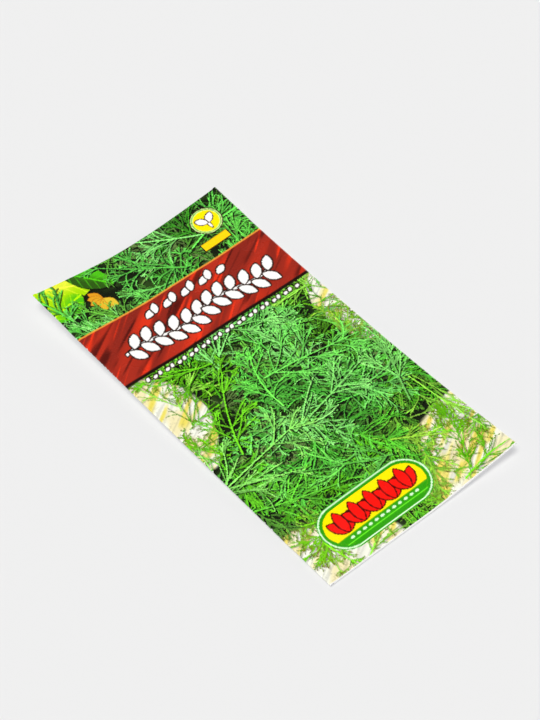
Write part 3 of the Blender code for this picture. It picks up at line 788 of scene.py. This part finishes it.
bpy.ops.object.select_all(action="DESELECT")
bpy.ops.mesh.primitive_uv_sphere_add(segments=SEED_SEGMENTS, ring_count=SEED_RINGS, radius=1)
seeds = bpy.context.object
seeds.name = "loose_seeds"
for vertex in seeds.data.vertices:
    across, up, along = vertex.co  # the sphere's poles become the seed's tips
    rib = 1 + RIB_HEIGHT * math.cos(2 * math.pi * math.atan2(up, across) / RIB_SPACING)
    share = 1 - FLAT_FACE if up > 0 else FLAT_FACE
    vertex.co = (along * SEED_LONG / 2, -across * SEED_WIDE / 2, up * rib * SEED_THICK * share)
rim_pale = [abs(vertex.co.y) / (SEED_WIDE / 2) for vertex in seeds.data.vertices]

seed_draw = np.random.default_rng(7)
spots = []
for level in range(2):
    for x in np.arange(-PILE_HALF_WIDE, PILE_HALF_WIDE + 0.1, SEED_PITCH):
        for y in np.arange(PILE_Y - PILE_HALF_LONG, PILE_Y + PILE_HALF_LONG + 0.1, SEED_PITCH):
            shift = SEED_PITCH / 2 * level
            spot_x, spot_y = (x + shift, y + shift) + seed_draw.uniform(-SEED_JITTER, SEED_JITTER, 2)
            room = front_height(spot_x, spot_y) - back_height(spot_x, spot_y) - PAPER
            needed = (level + 1) * (SEED_THICK + SEED_GAP) + 2 * SEED_GAP
            if math.hypot(spot_x / PILE_HALF_WIDE, (spot_y - PILE_Y) / PILE_HALF_LONG) < 1 and room > needed:
                spots.append((spot_x, spot_y, level))
spots = np.array(spots)
apply_modifier(
    seeds,
    "ARRAY",
    count=len(spots),
    use_relative_offset=False,
    use_constant_offset=True,
    constant_offset_displace=(0, 0, 0),
)
shape = np.zeros(len(seeds.data.vertices) * 3)
seeds.data.vertices.foreach_get("co", shape)
shape = shape.reshape(len(spots), -1, 3)
turn = seed_draw.uniform(0, 2 * math.pi, (len(spots), 1))
over = seed_draw.choice((1, -1), (len(spots), 1))  # half of them lie on their ribs
x = spots[:, :1] + shape[:, :, 0] * np.cos(turn) - over * shape[:, :, 1] * np.sin(turn)
y = spots[:, 1:2] + shape[:, :, 0] * np.sin(turn) + over * shape[:, :, 1] * np.cos(turn)
low = SEED_GAP + np.where(over > 0, FLAT_FACE, 1 - FLAT_FACE) * SEED_THICK
stack = spots[:, 2:] * (SEED_THICK + SEED_GAP)
z = back_height(x, y) + PAPER / 2 + low + stack + over * shape[:, :, 2]
seeds.data.vertices.foreach_set("co", (np.stack([x, y, z], -1) * MM).ravel())
pale = seeds.data.attributes.new("pale", "FLOAT", "POINT")
pale.data.foreach_set("value", np.tile(rim_pale, len(spots)))
tint = seeds.data.attributes.new("tint", "FLOAT", "POINT")
tint.data.foreach_set("value", np.repeat(seed_draw.random(len(spots)), shape.shape[1]))
seeds.data.update()
seeds.data.shade_smooth()

# Dry seed husk: matt brown, bleached to straw towards its winged rim, each seed a little lighter or darker.
material, tree, shader = new_material("dry_ribbed_seed_husk")
place = node(tree, "TexCoord").outputs["Object"]
wing = node(tree, "Attribute", attribute_name="pale").outputs["Fac"]
own = node(tree, "Attribute", attribute_name="tint").outputs["Fac"]
grain = node(tree, "TexNoise", {"Vector": place, "Scale": 1.5 / MM, "Detail": 4.0}).outputs["Fac"]
light = node(tree, "Math", {0: wing, 1: own, 2: -0.35}, operation="MULTIPLY_ADD")
light = node(tree, "Math", {0: light.outputs[0], 1: grain}, operation="ADD")
husk = node(tree, "ValToRGB", {"Fac": light.outputs[0]})
husk.color_ramp.elements[0].color = (*linear(hexes(0x5A4128))[0], 1)
husk.color_ramp.elements[1].color = (*linear(hexes(0xC9AC78))[0], 1)
tree.links.new(husk.outputs["Color"], shader.inputs["Base Color"])
shader.inputs["Roughness"].default_value = 0.75
seeds.data.materials.append(material)

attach(seeds, "root")
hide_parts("seeds")

# The stage
# A plain white light table: it glows a little from below, so that shadows on it stay pale. The light comes
# from above the camera and from low all round, and the varnish mirrors only the dark between the two.
FLOOR_HALF, FLOOR_DROP = 3000, 0.02
bpy.ops.object.select_all(action="DESELECT")
bpy.ops.mesh.primitive_plane_add(size=2 * FLOOR_HALF * MM, location=(0, 0, -FLOOR_DROP * MM))
floor = bpy.context.object
floor.name = "floor"
material, tree, shader = new_material("matt_light_table")
shader.inputs["Base Color"].default_value = (*linear(hexes(0xA7A7A3))[0], 1)
shader.inputs["Roughness"].default_value = 1.0
shader.inputs["Specular IOR Level"].default_value = 0.0
shader.inputs["Emission Color"].default_value = (*linear(hexes(0xF9F9FF))[0], 1)
shader.inputs["Emission Strength"].default_value = 0.434
floor.data.materials.append(material)

scene = bpy.context.scene
scene.view_settings.view_transform = "Standard"
BACKDROP = 0.86  # as bright as the floor, past its far edge
world = bpy.data.worlds.new("studio_light")
scene.world = world
world.use_nodes = True
tree = world.node_tree
upward = node(tree, "SeparateXYZ", {"Vector": node(tree, "TexCoord").outputs["Generated"]}).outputs["Z"]
overhead = {"Value": upward, "From Min": 0.93, "From Max": 0.985, "To Min": 0.06, "To Max": 2.8}
overhead = node(tree, "MapRange", overhead, interpolation_type="SMOOTHSTEP").outputs["Result"]
low_round = {"Value": upward, "From Min": 0.5, "From Max": 0.35, "To Min": 0.0, "To Max": 0.9}
low_round = node(tree, "MapRange", low_round, interpolation_type="SMOOTHSTEP").outputs["Result"]
ray = node(tree, "LightPath").outputs
filtered = {0: ray["Is Glossy Ray"], 1: -0.7, 2: 1.0}  # so that it doesn't bleach the print at low angles
filtered = node(tree, "Math", filtered, operation="MULTIPLY_ADD").outputs[0]
strength = node(tree, "Math", {0: low_round, 1: filtered, 2: overhead}, operation="MULTIPLY_ADD").outputs[0]
strength = node(tree, "Mix", {"Factor": ray["Is Camera Ray"], "A": strength, "B": BACKDROP}).outputs["Result"]
tree.links.new(strength, tree.nodes["Background"].inputs["Strength"])
tree.nodes["Background"].inputs["Color"].default_value = (1, 1, 1, 1)

TOWARDS_LAMP = Vector((-0.28, 0.0, 1))
sun = bpy.data.lights.new("soft_light_near_the_camera", "SUN")
sun.energy = 2.4
sun.angle = math.radians(28)
lamp = bpy.data.objects.new(sun.name, sun)
lamp.visible_glossy = False  # filtered, so that it leaves no glare on the varnish
scene.collection.objects.link(lamp)
lamp.rotation_euler = TOWARDS_LAMP.to_track_quat("Z", "Y").to_euler()

# The camera looks down on the packet from beyond its lower left corner, as the photograph does.
AZIMUTH, ELEVATION = math.radians(-40.95), math.radians(50.82)
TARGET = Vector((5.37, 5.8, 0)) * MM
DISTANCE = 842.3 * MM
FOCAL_PIXELS, PICTURE_HEIGHT = 2538, 720
camera_data = bpy.data.cameras.new("camera")
camera_data.sensor_width = 36
camera_data.lens = FOCAL_PIXELS / PICTURE_HEIGHT * camera_data.sensor_width
camera_data.clip_start = 0.01
camera = bpy.data.objects.new("camera", camera_data)
scene.collection.objects.link(camera)
away = Vector(
    (
        math.sin(AZIMUTH) * math.cos(ELEVATION),
        -math.cos(AZIMUTH) * math.cos(ELEVATION),
        math.sin(ELEVATION),
    )
)
camera.location = TARGET + away * DISTANCE
camera.rotation_euler = away.to_track_quat("Z", "Y").to_euler()
scene.camera = camera
